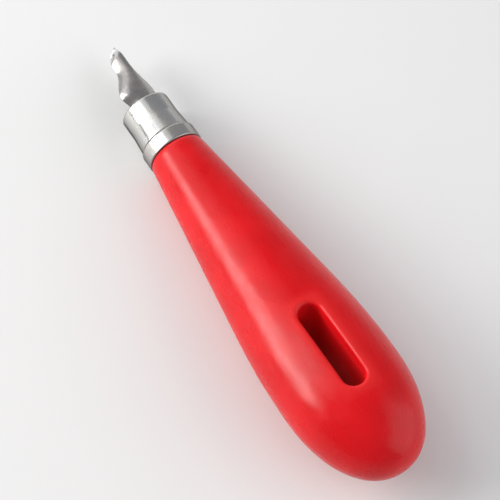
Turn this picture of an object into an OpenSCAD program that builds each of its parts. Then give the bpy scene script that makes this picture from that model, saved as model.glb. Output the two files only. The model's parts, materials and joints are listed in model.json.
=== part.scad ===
// A hand tool for cutting lino: a pear-shaped grip, a bushed nose, and a sleeve that holds a half-round nib.
// It is drawn along its own axis, nose at the origin and nib towards +X, and then laid down as it rests on a
// table: +Z is up, and the origin is under the middle of the tool.

/* [Grip] */
// Length of the grip
grip_length = 75; // [66:1:84]
// Width of the grip across its fattest part
grip_width = 23.5; // [21:0.5:27]
// Thickness of the fattest part through the slot, as a share of its width
grip_flatness = 0.86; // [0.8:0.01:1]
// Diameter of the grip at its nose
nose_diameter = 10.6; // [10.2:0.1:12]
// Share of the length at which the straight taper ends
taper_end = 0.5; // [0.4:0.01:0.6]
// Share of the length at which the grip is fattest
fattest_at = 0.74; // [0.7:0.01:0.85]
// How blunt the butt is: 2 is an ellipse, and more is blunter
butt_bluntness = 2.15; // [2:0.05:3]

/* [Hanging slot] */
// Length of the slot
slot_length = 18; // [12:0.5:20]
// Width of the slot
slot_width = 4.4; // [4.4:0.1:6]
// Share of the grip's length at which the middle of the slot lies
slot_at = 0.69; // [0.6:0.005:0.7]

/* [Sleeve and bush] */
// Bore of the sleeve, which the nib's shank fits
sleeve_bore = 6.4; // [6:0.1:6.6]
// Outside diameter of the sleeve's tail, inside the grip
tail_diameter = 7.6; // [7.4:0.1:7.8]
// Length of the sleeve's tail behind the collar
tail_length = 18; // [14:1:22]
// Outside diameter of the sleeve where it leaves the collar
sleeve_base_diameter = 10.2; // [9.6:0.1:10.4]
// Outside diameter of the sleeve at its mouth
sleeve_mouth_diameter = 9.6; // [9:0.1:9.8]
// Length of the sleeve in front of the collar
sleeve_length = 8; // [6:0.5:14]
// Diameter of the collar
collar_diameter = 10.9; // [10.6:0.1:12]
// Length of the collar
collar_length = 3; // [2:0.5:4]

/* [Nib] */
// Thickness of the nib's sheet steel
nib_sheet = 0.75; // [0.6:0.05:0.8]
// Length of the nib's half-round shank
shank_length = 11; // [9:0.5:12]
// Length of the boat-shaped shoulder
shoulder_length = 9; // [6:0.5:10]
// Width of the shoulder at its widest
shoulder_width = 8.4; // [7:0.1:8.6]
// Length of the cutting trough in front of the shoulder
trough_length = 4.5; // [4:0.5:9]
// Width of the cutting trough
trough_width = 3.6; // [3:0.1:4.4]
// Depth of the cutting trough
trough_depth = 2.3; // [1.8:0.1:2.8]
// How far the nib's open side is rolled up from the tool's left side: below zero, its back comes uppermost
nib_roll = -55; // [-90:5:90]

/* [Hidden] */
$fn = 64;
// Radial clearance of a piece that slides in another
running_gap = 0.05;
// Gap between two flat faces that meet and part again
face_gap = 0.05;
// Amount by which a cutting tool runs past the faces it cuts
past = 1;

// Grip
grip_radius = grip_width / 2;
grip_half_thickness = grip_radius * grip_flatness;
nose_radius = nose_diameter / 2;
nose_edge = 0.5;
grip_sides = 60;
taper_x = grip_length * taper_end;
fattest_x = grip_length * fattest_at;
butt_x = grip_length - fattest_x;
butt_flat_radius = 0.7;
belly_rings = 8;
steepest_tip = 20;
butt_rings = 9;

// Sleeve, bush and peg
bore_radius = sleeve_bore / 2;
tail_radius = tail_diameter / 2;
bush_bore_radius = tail_radius + running_gap;
bush_wall = 0.55;
bush_radius = bush_bore_radius + bush_wall;
socket_depth = tail_length + 1;
collar_radius = collar_diameter / 2;
collar_edge = 0.4;
shoulder_face_x = collar_length + face_gap;
mouth_x = shoulder_face_x + sleeve_length;
sleeve_base_radius = sleeve_base_diameter / 2;
mouth_radius = sleeve_mouth_diameter / 2;
guard_seat_length = 4;
mouth_edge = 0.3;
slit_width = 0.7;
shank_radius = bore_radius - running_gap;
shank_inner_radius = shank_radius - nib_sheet;
peg_radius = shank_inner_radius - 0.08;
peg_anchor_length = 11;
peg_front_x = mouth_x - 1.5;
peg_point = 0.6;
half_gap = 0.2;
half_ring_length = 13.5;
half_ring_front_x = mouth_x - 0.4;
half_ring_back_x = half_ring_front_x - half_ring_length;

// Nib, whose spine runs straight on from the back of the shank
nib_front_x = mouth_x + shoulder_length + trough_length;
shank_back_x = mouth_x - shank_length;
shoulder_radius = shoulder_width / 2;
trough_radius = trough_width / 2;
trough_sheet = nib_sheet * 0.75;
trough_vee = 0.5;
shoulder_setback = 0.3;
shoulder_x = mouth_x + shoulder_setback;
widest_at = 0.3;
shoulder_steps = 12;
wall_steps = 9;
front_cut_angle = 42;

// Half-breadth of the grip at a distance x behind the nose, where fattest is its greatest half-breadth. It is a
// straight taper, a belly that bends smoothly level, and a blunt round butt.
function taper_slope(fattest) = (fattest - nose_radius) / ((taper_x + fattest_x) / 2);
function belly_share(x) = (x - taper_x) / (fattest_x - taper_x);
function belly(x, fattest) =
    fattest - taper_slope(fattest) * (fattest_x - taper_x) * pow(1 - belly_share(x), 2) / 2;
function butt(x, fattest) =
    fattest * pow(max(0, 1 - pow((x - fattest_x) / butt_x, butt_bluntness)), 1 / butt_bluntness);
function grip_breadth(x, fattest) =
    x < taper_x ? nose_radius + taper_slope(fattest) * x
    : x < fattest_x ? belly(x, fattest)
    : butt(x, fattest);

// Distances behind the nose at which the grip has a ring of points
butt_xs = [
    for (i = [1 : butt_rings]) fattest_x + butt_x * pow(sin(i * 88 / butt_rings), 2 / butt_bluntness)
];
belly_xs = [for (i = [0 : belly_rings]) taper_x + (fattest_x - taper_x) * i / belly_rings];
ring_xs = concat([nose_edge], belly_xs, butt_xs);

// Rings as [x, half-width, half-thickness], from the nose face to the butt
rings = concat(
    [[0, nose_radius - nose_edge, nose_radius - nose_edge]],
    [[nose_edge * 0.3, nose_radius - nose_edge * 0.3, nose_radius - nose_edge * 0.3]],
    [for (x = ring_xs) [x, grip_breadth(x, grip_radius), grip_breadth(x, grip_half_thickness)]],
    [[grip_length, butt_flat_radius, butt_flat_radius * grip_flatness]]
);

// The tool lies on its belly and on the first of its front edges to reach the table, with its nose tipped down by
// the angle tip. drop() is how far below the middle of the nose the lowest of some points then lies, and
// rest_tip() halves a range of angles until belly and front edges lie equally low.
belly_points = [for (r = rings) [-r[0], r[2]]];
front_points = [
    [collar_length - collar_edge, collar_radius],
    [collar_length, collar_radius - collar_edge],
    [mouth_x - mouth_edge, mouth_radius],
    [mouth_x + shoulder_length * widest_at, shoulder_radius]
];
function drop(points, angle) = max([for (p = points) p[0] * sin(angle) + p[1] * cos(angle)]);
function rest_tip(low, high, steps) =
    let (middle = (low + high) / 2)
    steps == 0 ? middle
    : drop(belly_points, middle) > drop(front_points, middle) ? rest_tip(middle, high, steps - 1)
    : rest_tip(low, middle, steps - 1);
tip = rest_tip(0, steepest_tip, 40);
rest_height = drop(belly_points, tip);
back_reach = max([for (r = rings) r[0] * cos(tip) + r[2] * sin(tip)]);
front_reach = nib_front_x * cos(tip) - shank_radius * sin(nib_roll) * sin(tip);

// Lays a piece, drawn along the tool's axis, down on the table
module laid_down() {
    translate([(back_reach - front_reach) / 2, 0, rest_height])
        rotate([0, tip, 0])
            children();
}

// A bar of round section along +X
module bar(from_x, to_x, radius) {
    translate([from_x, 0, 0])
        rotate([0, 90, 0])
            cylinder(h = to_x - from_x, r = radius);
}

// A solid turned about the X axis from an outline of [x, radius] points
module turned(outline) {
    rotate([0, 90, 0])
        rotate_extrude()
            polygon([for (p = outline) [p[1], p[0]]]);
}

// A closed skin through rings of points, each ring with the same even number of them. A ring is closed off by
// strips between its first half and its second.
module skin(loops) {
    count = len(loops[0]);
    last = len(loops) - 1;
    polyhedron(
        points = [for (loop = loops) for (p = loop) p],
        faces = concat(
            [for (i = [0 : count / 2 - 2]) each [
                [i + 1, i, count - 1 - i],
                [count - 2 - i, i + 1, count - 1 - i]
            ]],
            [for (i = [0 : count / 2 - 2]) each [
                [last * count + i, last * count + i + 1, last * count + count - 1 - i],
                [last * count + i + 1, last * count + count - 2 - i, last * count + count - 1 - i]
            ]],
            [for (j = [0 : last - 1]) for (i = [0 : count - 1]) let (next = (i + 1) % count) each [
                [j * count + i, j * count + next, (j + 1) * count + i],
                [(j + 1) * count + i, j * count + next, (j + 1) * count + next]
            ]]
        ),
        convexity = 6
    );
}

module slot_cut() {
    straight = slot_length - slot_width;
    translate([-grip_length * slot_at, 0, -grip_radius - past])
        linear_extrude(2 * (grip_radius + past)) {
            square([straight, slot_width], center = true);
            for (end = [-1, 1])
                translate([end * straight / 2, 0])
                    circle(slot_width / 2);
        }
}

module handle_body() {
    color("crimson")
        laid_down()
            difference() {
                skin([
                    for (r = rings) [
                        for (i = [0 : grip_sides - 1])
                            let (turn = (i + 0.5) * 360 / grip_sides)
                            [-r[0], r[1] * cos(turn), r[2] * sin(turn)]
                    ]
                ]);
                bar(-socket_depth, past, bush_radius);
                bar(-socket_depth - peg_anchor_length, past, peg_radius);
                slot_cut();
            }
}

module nose_bush() {
    color("silver")
        laid_down()
            turned([
                [-socket_depth, bush_bore_radius],
                [collar_length, bush_bore_radius],
                [collar_length, collar_radius - collar_edge],
                [collar_length - collar_edge, collar_radius],
                [collar_edge / 2, collar_radius],
                [0, collar_radius - collar_edge / 2],
                [0, bush_radius],
                [-socket_depth, bush_radius]
            ]);
}

module core_peg() {
    color("darkgray")
        laid_down()
            turned([
                [-socket_depth - peg_anchor_length, 0],
                [peg_front_x, 0],
                [peg_front_x, peg_radius - peg_point],
                [peg_front_x - peg_point, peg_radius],
                [-socket_depth - peg_anchor_length, peg_radius]
            ]);
}

module half_ring() {
    color("gray")
        laid_down()
            rotate([nib_roll, 0, 0])
                intersection() {
                    turned([
                        [half_ring_back_x, shank_inner_radius],
                        [half_ring_front_x, shank_inner_radius],
                        [half_ring_front_x, shank_radius],
                        [half_ring_back_x, shank_radius]
                    ]);
                    translate([half_ring_back_x - past, half_gap, -shank_radius - past])
                        cube([half_ring_length + 2 * past, shank_radius + past, 2 * (shank_radius + past)]);
                }
}

module ferrule() {
    color("gainsboro")
        laid_down()
            difference() {
                turned([
                    [-tail_length, bore_radius],
                    [mouth_x, bore_radius],
                    [mouth_x, mouth_radius - mouth_edge],
                    [mouth_x - mouth_edge, mouth_radius],
                    [mouth_x - guard_seat_length, mouth_radius],
                    [shoulder_face_x, sleeve_base_radius],
                    [shoulder_face_x, tail_radius],
                    [-tail_length, tail_radius]
                ]);
                translate([-tail_length - past, 0, -slit_width / 2])
                    cube([tail_length + mouth_x + 2 * past, sleeve_base_radius + past, slit_width]);
            }
}

// One skin of the nib's bent sheet at x, from edge to edge past the spine, which stays at the same depth all
// along. vee is how far the section has gone from round (0) towards a vee (1).
function sheet_side(x, half_width, depth, vee) = [
    for (i = [-wall_steps : wall_steps])
        let (turn = 90 * i / wall_steps)
        let (across = (1 - vee) * sin(turn) + vee * i / wall_steps)
        let (down = (1 - vee) * cos(turn) + vee * (1 - abs(i / wall_steps)))
        [x, depth * (1 - down) - shank_radius, half_width * across]
];
function reversed(list) = [for (i = [len(list) - 1 : -1 : 0]) list[i]];
function sheet_ring(x, half_width, depth, sheet, vee) = concat(
    sheet_side(x, half_width, depth, vee),
    [
        for (p = reversed(sheet_side(x, half_width - sheet, depth - sheet, vee)))
            [p[0], p[1] + sheet, p[2]]
    ]
);

// The shoulder swells to its widest and then narrows into the trough, both on smooth curves
function mixed(from, to, share) = from + (to - from) * pow(sin(90 * share), 2);
function shoulder_half_width(share) =
    share < widest_at
    ? mixed(shank_radius, shoulder_radius, share / widest_at)
    : mixed(shoulder_radius, trough_radius, (share - widest_at) / (1 - widest_at));
shank_rings = [
    for (x = [shank_back_x, shoulder_x - shoulder_setback / 2])
        sheet_ring(x, shank_radius, shank_radius, nib_sheet, 0)
];
shoulder_rings = [
    for (i = [0 : shoulder_steps])
        let (share = i / shoulder_steps)
        sheet_ring(
            shoulder_x + (shoulder_length - shoulder_setback) * share,
            shoulder_half_width(share),
            mixed(shank_radius, trough_depth, share),
            mixed(nib_sheet, trough_sheet, share),
            trough_vee * share
        )
];
// The front end slants back from the tip of the spine to the two edges
front_ring = [
    for (p = sheet_ring(nib_front_x, trough_radius, trough_depth, trough_sheet, trough_vee))
        [p[0] - (p[1] + shank_radius) / tan(front_cut_angle), p[1], p[2]]
];

module nib() {
    color("dimgray")
        laid_down()
            rotate([nib_roll, 0, 0])
                skin(concat(shank_rings, shoulder_rings, [front_ring]));
}

handle_body();
nose_bush();
core_peg();
half_ring();
ferrule();
nib();
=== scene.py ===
import json
import math

import bmesh
import bpy
from mathutils import Matrix, Vector


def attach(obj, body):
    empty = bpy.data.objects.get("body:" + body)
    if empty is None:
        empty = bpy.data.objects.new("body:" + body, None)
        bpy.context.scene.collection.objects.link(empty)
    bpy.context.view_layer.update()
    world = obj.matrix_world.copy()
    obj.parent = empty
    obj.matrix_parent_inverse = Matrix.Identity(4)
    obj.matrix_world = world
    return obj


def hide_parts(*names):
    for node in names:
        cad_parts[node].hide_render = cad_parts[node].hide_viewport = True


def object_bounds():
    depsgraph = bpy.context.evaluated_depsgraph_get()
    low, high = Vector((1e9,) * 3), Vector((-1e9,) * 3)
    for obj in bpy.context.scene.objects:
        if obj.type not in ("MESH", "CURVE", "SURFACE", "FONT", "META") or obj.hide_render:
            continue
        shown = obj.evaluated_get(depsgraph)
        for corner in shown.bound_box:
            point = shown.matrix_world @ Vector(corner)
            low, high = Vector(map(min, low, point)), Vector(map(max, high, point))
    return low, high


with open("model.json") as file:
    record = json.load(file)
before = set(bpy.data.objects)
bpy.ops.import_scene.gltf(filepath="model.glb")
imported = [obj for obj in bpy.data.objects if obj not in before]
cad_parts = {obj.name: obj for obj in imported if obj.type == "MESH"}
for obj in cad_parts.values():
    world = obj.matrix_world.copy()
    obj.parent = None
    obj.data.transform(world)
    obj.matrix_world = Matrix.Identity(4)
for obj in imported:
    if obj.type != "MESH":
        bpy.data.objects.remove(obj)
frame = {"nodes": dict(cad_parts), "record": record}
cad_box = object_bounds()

MM = 0.001
X, Y, Z = 0, 1, 2      # places of a point's coordinates

# ---------------------------------------------------------------------------------------------------------
# The tool's own frame: nose of the grip at the origin, nib towards +X, slot facing +Z. Everything below is
# built in that frame in millimetres and laid down by TOOL, which is read off the frame.


def mount(name):
    return next(m for m in frame["record"]["mounts"] if m["name"] == name)


def joint(name):
    return next(j for j in frame["record"]["behaviour"]["joints"] if j["name"] == name)


axis = Vector(joint("sleeve_slide")["axis"]).normalized()
left = Vector((0, 1, 0))
up = axis.cross(left)
anchor = Vector(mount("tip_guard_seat")["pos_m"])


def cad_points(node):
    return [v.co for v in frame["nodes"][node].data.vertices]


nose = anchor + axis * max((p - anchor).dot(axis) for p in cad_points("handle_body"))
TOOL = Matrix((
    (axis.x, left.x, up.x, nose.x),
    (axis.y, left.y, up.y, nose.y),
    (axis.z, left.z, up.z, nose.z),
    (0, 0, 0, 1),
)) @ Matrix.Scale(MM, 4)
TO_TOOL = TOOL.inverted()


def tool_points(node):
    return [TO_TOOL @ p for p in cad_points(node)]


def reach(node, index):
    """Lowest and highest value of one of a node's coordinates in the tool's frame."""
    values = [p[index] for p in tool_points(node)]
    return min(values), max(values)


def off_axis(p):
    return math.hypot(p[1], p[2])


def radii(node):
    """Smallest and greatest distance of a node's points from the tool's axis."""
    values = [off_axis(p) for p in tool_points(node)]
    return min(values), max(values)


# Sizes taken from the frame
GRIP_LENGTH = -reach("handle_body", X)[0]
GRIP_HALF_WIDTH = reach("handle_body", Y)[1]
GRIP_HALF_THICKNESS = reach("handle_body", Z)[1]
BUSH_BACK, BUSH_FRONT = reach("nose_bush", X)
BUSH_BORE, COLLAR_RADIUS = radii("nose_bush")
PEG_BACK, PEG_FRONT = reach("core_peg", X)
PEG_RADIUS = radii("core_peg")[1]
SLEEVE_BACK, SLEEVE_FRONT = reach("ferrule", X)
SLEEVE_BORE, SLEEVE_BASE_RADIUS = radii("ferrule")
MOUTH_RADIUS = mount("tip_guard_seat")["dims"]["r_mm"]
RING_BACK, RING_FRONT = reach("half_ring", X)
SHANK_INNER_RADIUS, SHANK_RADIUS = radii("half_ring")
NIB_BACK, NIB_FRONT = reach("nib", X)

# Sizes that shape the pieces, as the CAD has them
NOSE_EDGE = 0.5        # radius of the rounded edge round the nose
TAPER_END = 0.5        # share of the grip's length where the straight taper ends
FATTEST_AT = 0.74      # share of the grip's length where it is fattest
BLUNTNESS = 2.15       # 2 makes the butt an ellipse, and more makes it blunter
SLOT_LENGTH = 18.0
SLOT_WIDTH = 4.4
BUSH_RADIUS = 4.4
COLLAR_EDGE = 0.4
TAIL_RADIUS = 3.8      # of the part of the sleeve that slides in the bush
SEAT_LENGTH = 4.0      # length of the parallel front end of the sleeve
SLIT_WIDTH = 0.7
NIB_ROLL = -55         # degrees that the nib is turned about the tool's axis from open side left
SHEET = SHANK_RADIUS - SHANK_INNER_RADIUS
SHOULDER_LENGTH = 9.0
SHOULDER_RADIUS = 4.2
WIDEST_AT = 0.3        # share of the shoulder's length where it is widest
TROUGH_RADIUS = 1.8
TROUGH_DEPTH = 2.3
TROUGH_SHEET = SHEET * 0.75
TROUGH_VEE = 0.5       # how far the trough's section goes from round (0) to a vee (1)
FRONT_CUT = 42         # degrees between the nib's front and its spine
RING_GAP = 0.2         # gap between the half ring and each edge of the nib's shank

NOSE_FACE_DEPTH = 0.01     # points no further back than this are on the nose's flat face
nose_face = [p for p in tool_points("handle_body") if p.x > -NOSE_FACE_DEPTH]
NOSE_RADIUS = NOSE_EDGE + max(off_axis(p) for p in nose_face)

slot_middle = TO_TOOL @ Vector(mount("hanging_slot")["pos_m"])


# ---------------------------------------------------------------------------------------------------------
# Meshes

def piece(name, body, replaced, material, points, faces, marks=None, subdivide=0):
    """One smooth-shaded piece from points in the tool's frame. Its points keep their place in that frame in
    the attribute tool, for the materials, and marks adds further attributes, one number per point."""
    mesh = bpy.data.meshes.new(name)
    mesh.from_pydata([tuple(p) for p in points], [], faces)
    mesh.validate()
    attribute = mesh.attributes.new("tool", "FLOAT_VECTOR", "POINT")
    attribute.data.foreach_set("vector", [c for p in points for c in p])
    for key, values in (marks or {}).items():
        attribute = mesh.attributes.new(key, "FLOAT", "POINT")
        attribute.data.foreach_set("value", values)
    mesh.transform(TOOL)
    shell = bmesh.new()
    shell.from_mesh(mesh)
    bmesh.ops.recalc_face_normals(shell, faces=shell.faces)
    shell.to_mesh(mesh)
    shell.free()
    mesh.polygons.foreach_set("use_smooth", [True] * len(mesh.polygons))
    mesh.materials.append(material)
    obj = bpy.data.objects.new(name, mesh)
    bpy.context.scene.collection.objects.link(obj)
    if subdivide:
        smooth = obj.modifiers.new("Smooth", "SUBSURF")
        smooth.levels = subdivide
        smooth.render_levels = subdivide
    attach(obj, body)
    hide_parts(replaced)
    return obj


def rounded(corners, steps=4):
    """A closed outline of (x, r) points from (x, r, radius) corners, each corner an arc with a point of
    support on either side."""
    out = []
    for i, (x, r, radius) in enumerate(corners):
        here = Vector((x, r))
        if not radius:
            out.append(here)
            continue
        before = Vector(corners[i - 1][:2]) - here
        after = Vector(corners[(i + 1) % len(corners)][:2]) - here
        half = before.angle(after) / 2
        reach_in = radius / math.tan(half)
        start = here + before.normalized() * reach_in
        end = here + after.normalized() * reach_in
        centre = here + (before.normalized() + after.normalized()).normalized() * radius / math.sin(half)
        support = radius * 0.35
        out.append(start + before.normalized() * support)
        a, b = start - centre, end - centre
        turn = a.angle_signed(b)
        for k in range(steps + 1):
            out.append(centre + Matrix.Rotation(-turn * k / steps, 2) @ a)
        out.append(end + after.normalized() * support)
    return out


def turned(outline, steps=120, slit=0.0, start=0.0, sweep=360.0):
    """An outline turned about the tool's axis, all the way round, or with a slit of a given width, or
    through sweep degrees from start. Gives its points, its faces and, for each point, 1 if it is on a cut
    face and otherwise 0."""
    count = len(outline)
    whole = not slit and sweep == 360
    columns = steps if whole else steps + 1

    def column(k):
        for x, r in outline:
            edge = math.degrees(math.asin(slit / 2 / r)) if slit else 0
            angle = math.radians(start + edge + (sweep - 2 * edge) * k / steps)
            yield (x, r * math.cos(angle), r * math.sin(angle))

    points = [p for k in range(columns) for p in column(k)]
    faces = []
    for k in range(steps):
        a, b = k * count, (k + 1) % columns * count
        for i in range(count):
            j = (i + 1) % count
            faces.append((a + i, a + j, b + j, b + i))
    cut = [0.0] * len(points)
    if not whole:
        for k in (0, steps):
            faces.append(tuple(range(len(points), len(points) + count)))
            points += column(k)
            cut += [1.0] * count
    return points, faces, cut


# ---------------------------------------------------------------------------------------------------------
# Materials

class Shader:
    """A material's nodes, with short names for the ones used here."""

    def __init__(self, name, color, metallic, roughness):
        self.material = bpy.data.materials.new(name)
        self.material.use_nodes = True
        self.nodes = self.material.node_tree.nodes
        self.links = self.material.node_tree.links
        self.shader = self.nodes["Principled BSDF"]
        self.shader.inputs["Base Color"].default_value = (*color, 1)
        self.shader.inputs["Metallic"].default_value = metallic
        self.shader.inputs["Roughness"].default_value = roughness

    def feed(self, socket, value):
        if isinstance(value, bpy.types.NodeSocket):
            self.links.new(value, socket)
        else:
            socket.default_value = value

    def node(self, kind, **inputs):
        node = self.nodes.new(kind)
        for key, value in inputs.items():
            self.feed(node.inputs[key.replace("_", " ")], value)
        return node

    def place(self, stretch=(1, 1, 1)):
        """Place in the tool's frame, in millimetres, stretched."""
        node = self.nodes.new("ShaderNodeAttribute")
        node.attribute_name = "tool"
        mapping = self.node("ShaderNodeMapping", Vector=node.outputs["Vector"], Scale=stretch)
        return mapping.outputs["Vector"]

    def mark(self, key):
        node = self.nodes.new("ShaderNodeAttribute")
        node.attribute_name = key
        return node.outputs["Fac"]

    def noise(self, scale, stretch=(1, 1, 1), detail=3.0, rough=0.5):
        node = self.node("ShaderNodeTexNoise", Vector=self.place(stretch), Scale=scale, Detail=detail,
                         Roughness=rough)
        return node.outputs["Fac"]

    def range(self, value, low, high, to_low=0.0, to_high=1.0):
        node = self.nodes.new("ShaderNodeMapRange")
        node.interpolation_type = "SMOOTHSTEP"
        for index, number in enumerate((value, low, high, to_low, to_high)):
            self.feed(node.inputs[index], number)
        return node.outputs["Result"]

    def math(self, operation, a, b):
        node = self.nodes.new("ShaderNodeMath")
        node.operation = operation
        self.feed(node.inputs[0], a)
        self.feed(node.inputs[1], b)
        return node.outputs[0]

    def mix(self, share, a, b):
        node = self.nodes.new("ShaderNodeMix")
        node.data_type = "RGBA"
        colors = [s for s in node.inputs if s.type == "RGBA"]
        self.feed(node.inputs[0], share)
        self.feed(colors[0], a if isinstance(a, bpy.types.NodeSocket) else (*a, 1))
        self.feed(colors[1], b if isinstance(b, bpy.types.NodeSocket) else (*b, 1))
        return next(s for s in node.outputs if s.type == "RGBA")

    def bump(self, height, strength, distance, before=None):
        node = self.node("ShaderNodeBump", Height=height, Strength=strength, Distance=distance)
        if before:
            self.links.new(before, node.inputs["Normal"])
        return node.outputs["Normal"]

    def set(self, key, value):
        self.feed(self.shader.inputs[key], value)


def red_plastic():
    s = Shader("red_plastic", (0.74, 0.006, 0.012), 0.0, 0.3)
    deep = s.mark("deep")
    rim = s.mark("rim")
    clouds = s.noise(0.12, detail=2.0)
    handling = s.noise(0.35, (0.4, 1, 1), detail=4.0, rough=0.6)
    grain = s.noise(5.0, detail=2.0)
    scratches = s.range(s.noise(2.6, (0.10, 2.2, 2.2), detail=6.0, rough=0.8), 0.67, 0.73)
    color = s.mix(s.range(clouds, 0.3, 0.7), (0.58, 0.001, 0.004), (0.67, 0.002, 0.006))
    color = s.mix(s.math("MULTIPLY", rim, 0.35), color, (0.86, 0.05, 0.045))
    # Painted light: inside the slot and the nose socket the red is painted lighter, to lift the shade
    # there.
    color = s.mix(deep, color, (0.78, 0.006, 0.011))
    s.set("Base Color", color)
    gloss = s.range(handling, 0.3, 0.75, 0.24, 0.36)
    gloss = s.math("ADD", gloss, s.math("MULTIPLY", scratches, 0.16))
    gloss = s.math("ADD", gloss, s.math("MULTIPLY", deep, 0.3))
    s.set("Roughness", gloss)
    normal = s.bump(s.noise(0.22, detail=1.0), 0.12, 0.0006)
    normal = s.bump(grain, 0.10, 0.00002, normal)
    normal = s.bump(scratches, 0.12, 0.00001, normal)
    s.set("Normal", normal)
    s.set("Specular IOR Level", 0.28)
    return s.material


def plated(name, tint, gloss_low, gloss_high):
    """Bright nickel plate over a turned sleeve: fine rings left by the lathe, finger marks, painted shade
    that darkens the bores, the joints and the slit, which are also made duller there, and small nicks on
    the edges."""
    s = Shader(name, tint, 1.0, gloss_low)
    s.set("Specular Tint", (0.35, 0.33, 0.34, 1))
    rings = s.noise(9.0, (1, 0, 0), detail=6.0, rough=0.8)
    smears = s.noise(0.5, (0.6, 1, 1), detail=4.0, rough=0.6)
    crevice_shade = s.mark("crevice_shade")
    nicks = s.range(s.noise(2.2, (0.5, 1, 1), detail=5.0, rough=0.75), 0.64, 0.70)
    # Painted shade: the plate darkens towards this colour in the bores, at the joints and on the slit's
    # walls, where shade falls; it is also made rougher there.
    dark = tuple(c * 0.45 for c in tint)
    warm = (tint[0], tint[1] * 0.965, tint[2] * 0.90)
    color = s.mix(s.range(smears, 0.35, 0.7), tint, warm)
    color = s.mix(s.math("MULTIPLY", crevice_shade, 0.8), color, dark)
    s.set("Base Color", color)
    gloss = s.range(smears, 0.3, 0.7, gloss_low, gloss_high)
    gloss = s.math("ADD", gloss, s.math("MULTIPLY", nicks, 0.18))
    gloss = s.math("ADD", gloss, s.math("MULTIPLY", crevice_shade, 0.3))
    s.set("Roughness", gloss)
    normal = s.bump(rings, 0.10, 0.000012)
    normal = s.bump(nicks, 0.15, 0.000012, normal)
    s.set("Normal", normal)
    return s.material


def steel(name, tint, gloss_low, gloss_high, stain, lengthwise=True):
    """Bare steel with grinding marks along or around the tool, a little stain and a bright ground edge."""
    s = Shader(name, tint, 1.0, gloss_low)
    marks = s.noise(7.0, (0.06, 1, 1) if lengthwise else (1, 0.06, 0.06), detail=5.0, rough=0.7)
    patches = s.noise(0.55, detail=4.0, rough=0.6)
    ground = s.mark("ground")
    color = s.mix(s.range(patches, 0.42, 0.72, 0.0, 0.7), tint, stain)
    color = s.mix(s.range(marks, 0.35, 0.75, 0.0, 0.5), color, tuple(c * 0.6 for c in tint))
    color = s.mix(s.math("MULTIPLY", ground, 0.85), color, (0.80, 0.80, 0.80))
    s.set("Base Color", color)
    gloss = s.range(patches, 0.3, 0.7, gloss_low, gloss_high)
    gloss = s.math("SUBTRACT", gloss, s.math("MULTIPLY", ground, gloss_low * 0.5))
    s.set("Roughness", gloss)
    s.set("Normal", s.bump(marks, 0.35, 0.00002))
    return s.material


RED = red_plastic()
COLLAR_PLATE = plated("collar_plate", (0.54, 0.53, 0.52), 0.18, 0.30)
SLEEVE_PLATE = plated("sleeve_plate", (0.56, 0.56, 0.555), 0.17, 0.29)
PEG_STEEL = steel("peg_steel", (0.48, 0.47, 0.46), 0.28, 0.42, (0.36, 0.33, 0.30), lengthwise=False)
RING_STEEL = steel("ring_steel", (0.42, 0.41, 0.41), 0.30, 0.45, (0.30, 0.28, 0.26))
NIB_STEEL = steel("nib_steel", (0.43, 0.41, 0.40), 0.24, 0.38, (0.29, 0.25, 0.235))


# ---------------------------------------------------------------------------------------------------------
# The grip: an oval skin of revolution-like rings, with a socket in the nose and the slot let through it

RIM = 0.9              # radius of the slot's moulded rim
RIM_STEPS = 5
PATCH_STEPS = 4
WALL_STEPS = 10
SIDES = 96
HOLE_SIDES = 6         # columns of the skin on either side of the slot's middle that give way to it
RING_STEP = 0.75       # distance between rings round the slot
SEAM = 0.5             # degrees on either side of the mould's parting line
SEAM_HEIGHT = 0.045
SKIN_INSET = 0.02      # keeps the smooth skin inside the CAD's box
HOLE_MARGIN = 2.4      # length of skin before and behind the slot that gives way to it
SKIN_RING_STEP = 1.3   # distance between rings from the nose to the slot
BUTT_STEPS = 22
EDGE_STEPS = 5         # steps round the nose's edge
SEAT_MOUTH = 0.04      # small chamfer where the collar's bush goes in


def grip_breadth(x, fattest):
    """Half-breadth of the grip at x behind the nose: a straight taper, a belly and a blunt butt."""
    taper, widest = GRIP_LENGTH * TAPER_END, GRIP_LENGTH * FATTEST_AT
    slope = (fattest - NOSE_RADIUS) / ((taper + widest) / 2)
    if x < taper:
        return NOSE_RADIUS + slope * x
    if x < widest:
        left_over = 1 - (x - taper) / (widest - taper)
        return fattest - slope * (widest - taper) * left_over ** 2 / 2
    share = min(1, (x - widest) / (GRIP_LENGTH - widest))
    return fattest * max(0, 1 - share ** BLUNTNESS) ** (1 / BLUNTNESS)


def grip_oval(x):
    return (grip_breadth(x, GRIP_HALF_WIDTH - SEAM_HEIGHT - SKIN_INSET),
            grip_breadth(x, GRIP_HALF_THICKNESS - SKIN_INSET))


def skin_height(x, y):
    """Height of the grip's skin above the tool's axis, over a point of its middle plane."""
    a, b = grip_oval(-x)
    return b * math.sqrt(max(0, 1 - (y / a) ** 2))


def spaced(low, high, step):
    count = max(1, round((high - low) / step))
    return [low + (high - low) * i / count for i in range(1, count + 1)]


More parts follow.
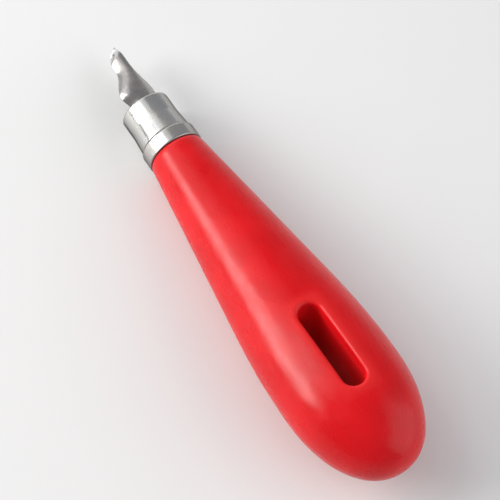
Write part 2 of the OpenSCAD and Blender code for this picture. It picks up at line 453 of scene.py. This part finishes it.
def build_grip():
    hole_back = -slot_middle.x + SLOT_LENGTH / 2 + HOLE_MARGIN
    hole_front = -slot_middle.x - SLOT_LENGTH / 2 - HOLE_MARGIN
    widest = GRIP_LENGTH * FATTEST_AT
    straight = SLOT_LENGTH / 2 - SLOT_WIDTH / 2

    # Columns round the skin, as angles from the tool's left, with two more beside each parting line
    angles = sorted(
        [360 * i / SIDES for i in range(SIDES)] + [SEAM, 180 - SEAM, 180 + SEAM, 360 - SEAM]
    )
    top, bottom = angles.index(90), angles.index(270)
    seams = {angles.index(0), angles.index(180)}

    # Rings of the skin, as distances behind the nose
    butt = GRIP_LENGTH - widest
    first_ring = NOSE_EDGE + 0.25
    ring_xs = [first_ring] + spaced(first_ring, hole_front, SKIN_RING_STEP)
    first_hole = len(ring_xs) - 1
    ring_xs += spaced(hole_front, hole_back, RING_STEP)
    last_hole = len(ring_xs) - 1
    start = math.asin(((hole_back - widest) / butt) ** (BLUNTNESS / 2))
    for i in range(1, BUTT_STEPS):
        turn = start + (math.pi / 2 - start) * i / BUTT_STEPS
        ring_xs.append(widest + butt * math.sin(turn) ** (2 / BLUNTNESS))

    # Each point keeps a depth mark for the slot's walls and the nose socket, where the red is painted
    # lighter as painted light, and a rim mark for worn edges.
    points, deep, rim, faces = [], [], [], []

    def add(p, depth=0.0, on_rim=0.0):
        points.append(p)
        deep.append(depth)
        rim.append(on_rim)
        return len(points) - 1

    def join(a, b, closed=True):
        """Quads between two rows of points."""
        for i in range(len(a) if closed else len(a) - 1):
            j = (i + 1) % len(a)
            faces.append((a[i], a[j], b[j], b[i]))

    # Socket in the nose, nose edge, then the skin
    def round_row(x, radius, depth=0.0, on_rim=0.0):
        turns = [math.radians(t) for t in angles]
        return [add((-x, radius * math.cos(t), radius * math.sin(t)), depth, on_rim) for t in turns]

    peg_hole = add((PEG_BACK, 0, 0), 1.0)
    rows = [round_row(-PEG_BACK, PEG_RADIUS, 1.0),
            round_row(-BUSH_BACK, PEG_RADIUS, 1.0),
            round_row(-BUSH_BACK, BUSH_RADIUS, 1.0),
            round_row(1.0, BUSH_RADIUS, 1.0),
            round_row(SEAT_MOUTH, BUSH_RADIUS, 0.6),
            round_row(0.0, BUSH_RADIUS + SEAT_MOUTH, 0.4)]
    for i in range(EDGE_STEPS + 1):
        turn = math.pi / 2 * i / EDGE_STEPS
        rows.append(round_row(NOSE_EDGE * (1 - math.cos(turn)),
                              NOSE_RADIUS - NOSE_EDGE * (1 - math.sin(turn)), 0.0, 0.6))
    faces.extend((peg_hole, rows[0][(i + 1) % len(angles)], rows[0][i]) for i in range(len(angles)))
    skin = []
    for x in ring_xs:
        a, b = grip_oval(x)
        row = []
        for i, t in enumerate(angles):
            raise_by = SEAM_HEIGHT if i in seams else 0
            row.append(add((-x, (a + raise_by) * math.cos(math.radians(t)), b * math.sin(math.radians(t)))))
        skin.append(row)
    for a, b in zip(rows, rows[1:] + [skin[0]]):
        join(a, b)

    def in_hole(ring, column):
        return first_hole <= ring < last_hole and any(
            middle - HOLE_SIDES <= column < middle + HOLE_SIDES for middle in (top, bottom))

    for r, (a, b) in enumerate(zip(skin, skin[1:])):
        for i in range(len(angles)):
            if not in_hole(r, i):
                j = (i + 1) % len(angles)
                faces.append((a[i], a[j], b[j], b[i]))
    pole = add((-GRIP_LENGTH, 0, 0))
    faces.extend((skin[-1][i], skin[-1][(i + 1) % len(angles)], pole) for i in range(len(angles)))

    # The slot: from the hole's border in the skin, through a patch and a round rim, to the walls
    def border(middle, side):
        """The skin's points round the hole, in one order seen from above, for the top (side 1) or the
        bottom (side -1)."""
        columns = [middle + side * k for k in range(-HOLE_SIDES, HOLE_SIDES + 1)]
        rings = range(first_hole, last_hole + 1)
        loop = [skin[r][columns[0]] for r in rings]
        loop += [skin[last_hole][c] for c in columns[1:]]
        loop += [skin[r][columns[-1]] for r in reversed(rings[:-1])]
        loop += [skin[first_hole][c] for c in reversed(columns[1:-1])]
        return loop

    def wall_point(p):
        """Nearest point of the slot's outline to p, and the way straight out from it."""
        along = max(-straight, min(straight, p[0] - slot_middle.x))
        out = Vector((p[0] - slot_middle.x - along, p[1])).normalized()
        return Vector((slot_middle.x + along, 0)) + out * SLOT_WIDTH / 2, out

    def let_in(middle, side):
        """Rows from the skin's border to the top of the wall."""
        loop = border(middle, side)
        result = [loop]
        walls = [wall_point(points[i]) for i in loop]
        for step in range(1, PATCH_STEPS + 1):
            row = []
            for i, (wall, out) in zip(loop, walls):
                start_at = Vector(points[i][:2])
                p = start_at.lerp(wall + out * RIM, step / PATCH_STEPS)
                row.append(add((p.x, p.y, side * skin_height(p.x, p.y)), 0.0, 0.8 * step / PATCH_STEPS))
            result.append(row)
        for step in range(1, RIM_STEPS + 1):
            turn = math.pi / 2 * step / RIM_STEPS
            row = []
            for wall, out in walls:
                p = wall + out * RIM * (1 - math.sin(turn))
                height = skin_height(p.x, p.y) - RIM * (1 - math.cos(turn))
                row.append(add((p.x, p.y, side * height), step / RIM_STEPS * 0.35, 1 - step / RIM_STEPS))
            result.append(row)
        return result

    upper = let_in(top, 1)
    lower = let_in(bottom, -1)
    for rows_in in (upper, lower):
        flip = rows_in is lower
        for a, b in zip(rows_in, rows_in[1:]):
            join(b, a) if flip else join(a, b)
    walls = [upper[-1]]
    for step in range(1, WALL_STEPS):
        share = step / WALL_STEPS
        row = []
        for i, j in zip(upper[-1], lower[-1]):
            p = Vector(points[i]).lerp(Vector(points[j]), share)
            row.append(add(tuple(p), min(1, 0.35 + 5 * min(share, 1 - share))))
        walls.append(row)
    walls.append(lower[-1])
    for a, b in zip(walls, walls[1:]):
        join(a, b)
    return piece("grip_moulding", "grip", "handle_body", RED, points, faces,
                 {"deep": deep, "rim": rim}, subdivide=1)


# ---------------------------------------------------------------------------------------------------------
# The metal pieces

def near(value, at, width):
    """1 at a place and 0 beyond a distance from it."""
    return max(0.0, 1 - abs(value - at) / width)


PLAY = 0.05            # between the sleeve's shoulder and the collar


def build_bush():
    outline = rounded([
        (BUSH_BACK, BUSH_BORE, 0.1),
        (BUSH_FRONT, BUSH_BORE, 0.12),
        (BUSH_FRONT, COLLAR_RADIUS, COLLAR_EDGE),
        (0.0, COLLAR_RADIUS, COLLAR_EDGE * 0.6),
        (0.0, BUSH_RADIUS, 0),
        (BUSH_BACK, BUSH_RADIUS, 0.1),
    ], steps=6)
    points, faces, _ = turned(outline)
    # Painted shade where the collar's back meets the grip's nose, in its bore and on the tail inside the
    # grip.
    crevice_shade = [0.9 * near(p[0], 0, 0.35) + 0.7 * (off_axis(p) < BUSH_RADIUS) for p in points]
    return piece("nose_collar", "grip", "nose_bush", COLLAR_PLATE, points, faces,
                 {"crevice_shade": crevice_shade})


def build_sleeve():
    shoulder_x = BUSH_FRONT + PLAY
    outline = rounded([
        (SLEEVE_BACK, SLEEVE_BORE, 0.1),
        (SLEEVE_FRONT, SLEEVE_BORE, 0.2),
        (SLEEVE_FRONT, MOUTH_RADIUS, 0.35),
        (SLEEVE_FRONT - SEAT_LENGTH, MOUTH_RADIUS, 2.5),
        (shoulder_x, SLEEVE_BASE_RADIUS, 0.2),
        (shoulder_x, TAIL_RADIUS, 0.1),
        (SLEEVE_BACK, TAIL_RADIUS, 0.2),
    ], steps=6)
    points, faces, cut = turned(outline, steps=140, slit=SLIT_WIDTH)
    # Painted shade where the sleeve's shoulder meets the collar, in its bore and on the slit's walls.
    crevice_shade = [
        min(1, 0.9 * near(p[0], shoulder_x, 0.3) + 0.6 * (off_axis(p) < SLEEVE_BORE + 0.2) + c)
        for p, c in zip(points, cut)
    ]
    return piece("split_sleeve", "sleeve", "ferrule", SLEEVE_PLATE, points, faces,
                 {"crevice_shade": crevice_shade})


def build_peg():
    centre = 0.02          # the outline stays just off the axis that it is turned about
    outline = rounded([
        (PEG_BACK, centre, 0),
        (PEG_FRONT, centre, 0),
        (PEG_FRONT, PEG_RADIUS, 0.5),
        (PEG_BACK, PEG_RADIUS, 0.2),
    ], steps=6)
    points, faces, _ = turned(outline, steps=72)
    return piece("centre_peg", "grip", "core_peg", PEG_STEEL, points, faces,
                 {"ground": [0.0] * len(points)})


def rolled(p):
    """A point turned about the tool's axis, as the nib and the half ring are."""
    x, y, z = p
    turn = math.radians(NIB_ROLL)
    return (x, y * math.cos(turn) - z * math.sin(turn), y * math.sin(turn) + z * math.cos(turn))


def build_half_ring():
    outline = rounded([
        (RING_BACK, SHANK_INNER_RADIUS, 0.12),
        (RING_FRONT, SHANK_INNER_RADIUS, 0.12),
        (RING_FRONT, SHANK_RADIUS, 0.12),
        (RING_BACK, SHANK_RADIUS, 0.12),
    ])
    edge = math.degrees(math.asin(RING_GAP / SHANK_INNER_RADIUS))
    points, faces, _ = turned(outline, steps=60, start=edge - 90, sweep=180 - 2 * edge)
    points = [rolled((x, y, z)) for x, y, z in points]
    return piece("clamping_half_ring", "half_ring", "half_ring", RING_STEEL, points, faces,
                 {"ground": [0.0] * len(points)})


def blend(low, high, share):
    return low + (high - low) * math.sin(math.pi / 2 * max(0, min(1, share))) ** 2


SHOULDER_START = 0.3   # distance from the sleeve's mouth to where the nib begins to widen
SHANK_STEP = 0.9       # distance between rings on the nib's shank
SHOULDER_STEPS = 30
TROUGH_STEPS = 34


def build_nib():
    mouth = SLEEVE_FRONT
    shoulder_x = mouth + SHOULDER_START
    shoulder_end = mouth + SHOULDER_LENGTH
    slant = 1 / math.tan(math.radians(FRONT_CUT))
    bevel = 2.4            # length of the part that is ground to an edge
    ground_share = 0.88    # share of the sheet that is ground away at the very edge
    cutting_edge_y = TROUGH_SHEET * ground_share - SHANK_RADIUS

    # Places across the sheet, from one edge to the other past the spine, closer together at the edges
    across = [-1, -0.985, -0.95] + [i / 14 for i in range(-12, 13)] + [0.95, 0.985, 1]

    def side(half_width, depth, vee, lift):
        row = []
        for u in across:
            turn = math.pi / 2 * u
            z = half_width * ((1 - vee) * math.sin(turn) + vee * u)
            down = (1 - vee) * math.cos(turn) + vee * (1 - abs(u) ** 1.25)
            row.append((depth * (1 - down) - SHANK_RADIUS + lift, z))
        return row

    def section(half_width, depth, sheet, vee, ground=0.0):
        """Outer side then inner side. Grinding takes the sheet away from its outer side."""
        taken = sheet * ground_share * ground
        outer = side(half_width - taken, depth - taken, vee, taken)
        inner = side(half_width - sheet, depth - sheet, vee, sheet)
        return outer + inner[::-1]

    def half_width_at(share):
        if share < WIDEST_AT:
            return blend(SHANK_RADIUS, SHOULDER_RADIUS, share / WIDEST_AT)
        return blend(SHOULDER_RADIUS, TROUGH_RADIUS, (share - WIDEST_AT) / (1 - WIDEST_AT))

    rings, marks = [], []

    def add(xs, row, ground):
        rings.append([(x, y, z) for x, (y, z) in zip(xs, row)])
        marks.append([ground] * len(row))

    size = 2 * len(across)
    shank = section(SHANK_RADIUS, SHANK_RADIUS, SHEET, 0)
    crisp_end = [NIB_BACK, NIB_BACK + 0.04, NIB_BACK + 0.15]
    for x in crisp_end + spaced(crisp_end[-1], shoulder_x - 0.1, SHANK_STEP):
        add([x] * size, shank, 0.0)
    for i in range(SHOULDER_STEPS + 1):
        share = i / SHOULDER_STEPS
        row = section(half_width_at(share), blend(SHANK_RADIUS, TROUGH_DEPTH, share),
                      blend(SHEET, TROUGH_SHEET, share), TROUGH_VEE * share)
        add([shoulder_x + (shoulder_end - shoulder_x) * share] * size, row, 0.0)
    length = NIB_FRONT - shoulder_end
    for i in range(1, TROUGH_STEPS + 1):
        share = i / TROUGH_STEPS
        to_front = length * (1 - share)
        ground = blend(1.0, 0.0, to_front / bevel) if to_front < bevel else 0.0
        row = section(TROUGH_RADIUS, TROUGH_DEPTH, TROUGH_SHEET, TROUGH_VEE, ground)
        xs = [shoulder_end + share * (length - (y - cutting_edge_y) * slant) for y, z in row]
        add(xs, row, ground)
    points = [rolled(p) for ring in rings for p in ring]
    ground = [m for ring in marks for m in ring]
    faces = []
    for r in range(len(rings) - 1):
        a, b = r * size, (r + 1) * size
        for i in range(size):
            j = (i + 1) % size
            faces.append((a + i, a + j, b + j, b + i))
    for first, flip in ((0, True), ((len(rings) - 1) * size, False)):
        for i in range(len(across) - 1):
            quad = (first + i, first + i + 1, first + size - 2 - i, first + size - 1 - i)
            faces.append(quad[::-1] if flip else quad)
    return piece("gouge_nib", "nib", "nib", NIB_STEEL, points, faces, {"ground": ground},
                 subdivide=1)


build_grip()
build_bush()
build_sleeve()
build_peg()
build_half_ring()
build_nib()


# ---------------------------------------------------------------------------------------------------------
# Floor, lights and camera

def floor_material():
    s = Shader("floor", (0.78, 0.78, 0.77), 0.0, 0.6)
    coordinates = s.nodes.new("ShaderNodeTexCoord")
    noise = s.node("ShaderNodeTexNoise", Vector=coordinates.outputs["Object"], Scale=60.0, Detail=3.0)
    s.set("Base Color", s.mix(noise.outputs["Fac"], (0.775, 0.775, 0.77), (0.79, 0.79, 0.785)))
    s.set("Roughness", s.range(noise.outputs["Fac"], 0.3, 0.7, 0.58, 0.62))
    return s.material


def build_floor():
    half = 3.0
    mesh = bpy.data.meshes.new("floor")
    corners = [(-half, -half, 0), (half, -half, 0), (half, half, 0), (-half, half, 0)]
    mesh.from_pydata(corners, [], [(0, 1, 2, 3)])
    mesh.materials.append(floor_material())
    floor = bpy.data.objects.new("floor", mesh)
    bpy.context.scene.collection.objects.link(floor)


def softbox(name, to_nib, to_left, distance, size, power, roll=0, color=(1, 1, 1)):
    """A soft rectangular light that faces the tool. Seen from the tool, it lies to_nib degrees from square
    to the axis towards the nib, and to_left degrees round the axis from over the slot towards the left. Its
    size is its length along the tool and its breadth across, before it is rolled about its own middle."""
    a, b = math.radians(to_nib), math.radians(to_left)
    out = up * math.cos(b) + left * math.sin(b)
    direction = axis * math.sin(a) + out * math.cos(a)
    unrolled = axis * math.cos(a) - out * math.sin(a)
    lengthwise = Matrix.Rotation(math.radians(roll), 3, direction) @ unrolled
    light = bpy.data.lights.new(name, "AREA")
    light.shape = "RECTANGLE"
    light.size, light.size_y = size
    light.energy = power
    light.color = color
    obj = bpy.data.objects.new(name, light)
    bpy.context.scene.collection.objects.link(obj)
    obj.location = direction * distance
    turn = Matrix((lengthwise, direction.cross(lengthwise), direction)).transposed()
    obj.rotation_euler = turn.to_euler()


build_floor()

world = bpy.data.worlds.new("studio")
world.use_nodes = True
world.node_tree.nodes["Background"].inputs["Color"].default_value = (0.93, 0.95, 1.0, 1)
world.node_tree.nodes["Background"].inputs["Strength"].default_value = 0.38
bpy.context.scene.world = world
bpy.context.scene.view_settings.view_transform = "Standard"

# The window on the left gives the grip its streak, the sky above it widens the streak on the belly, and the
# card overhead gives the metal its bright top. The key comes from in front of the nib, where the grip
# doesn't mirror it, and the fill from behind the butt on the right, where it lightens the floor and the
# grip's dark side.
softbox("window", 27, 57, 0.75, (0.43, 0.30), 4.8, roll=-38, color=(1.0, 0.985, 0.95))
softbox("sky", 21, 28, 0.75, (0.24, 0.26), 0.75)
softbox("card", 38, 8, 0.80, (0.46, 0.36), 0.33)
softbox("key", 66, -30, 1.0, (0.7, 2.2), 4.2)
softbox("fill", -40, -62, 1.2, (1.4, 1.4), 8.5)

# The camera looks down on the tool from the butt's side and a little from its left, and is turned so that
# the nib points up and to the left.
BACK_TILT = 24.3       # degrees that the camera leans from the tool's axis square towards the butt
LEFT_LEAN = 18.0       # degrees that it leans from over the slot towards the tool's left
NIB_POINTS = 125.5     # way that the nib points in the picture, in degrees from its right-hand side
DISTANCE = 0.55        # from the middle of the tool, in metres
LENS = 222.0           # focal length in millimetres

tilt, lean = math.radians(BACK_TILT), math.radians(LEFT_LEAN)
away = (math.cos(lean) * up + math.sin(lean) * left) * math.cos(tilt) - axis * math.sin(tilt)
along_picture = (axis - away * axis.dot(away)).normalized()
to_right = Matrix.Rotation(-math.radians(NIB_POINTS), 3, away) @ along_picture
camera_turn = Matrix((to_right, away.cross(to_right), away)).transposed()
middle = (Vector(cad_box[0]) + Vector(cad_box[1])) / 2
camera_data = bpy.data.cameras.new("camera")
camera_data.lens = LENS
camera = bpy.data.objects.new("camera", camera_data)
bpy.context.scene.collection.objects.link(camera)
camera.location = middle + away * DISTANCE
camera.rotation_euler = camera_turn.to_euler()
bpy.context.scene.camera = camera
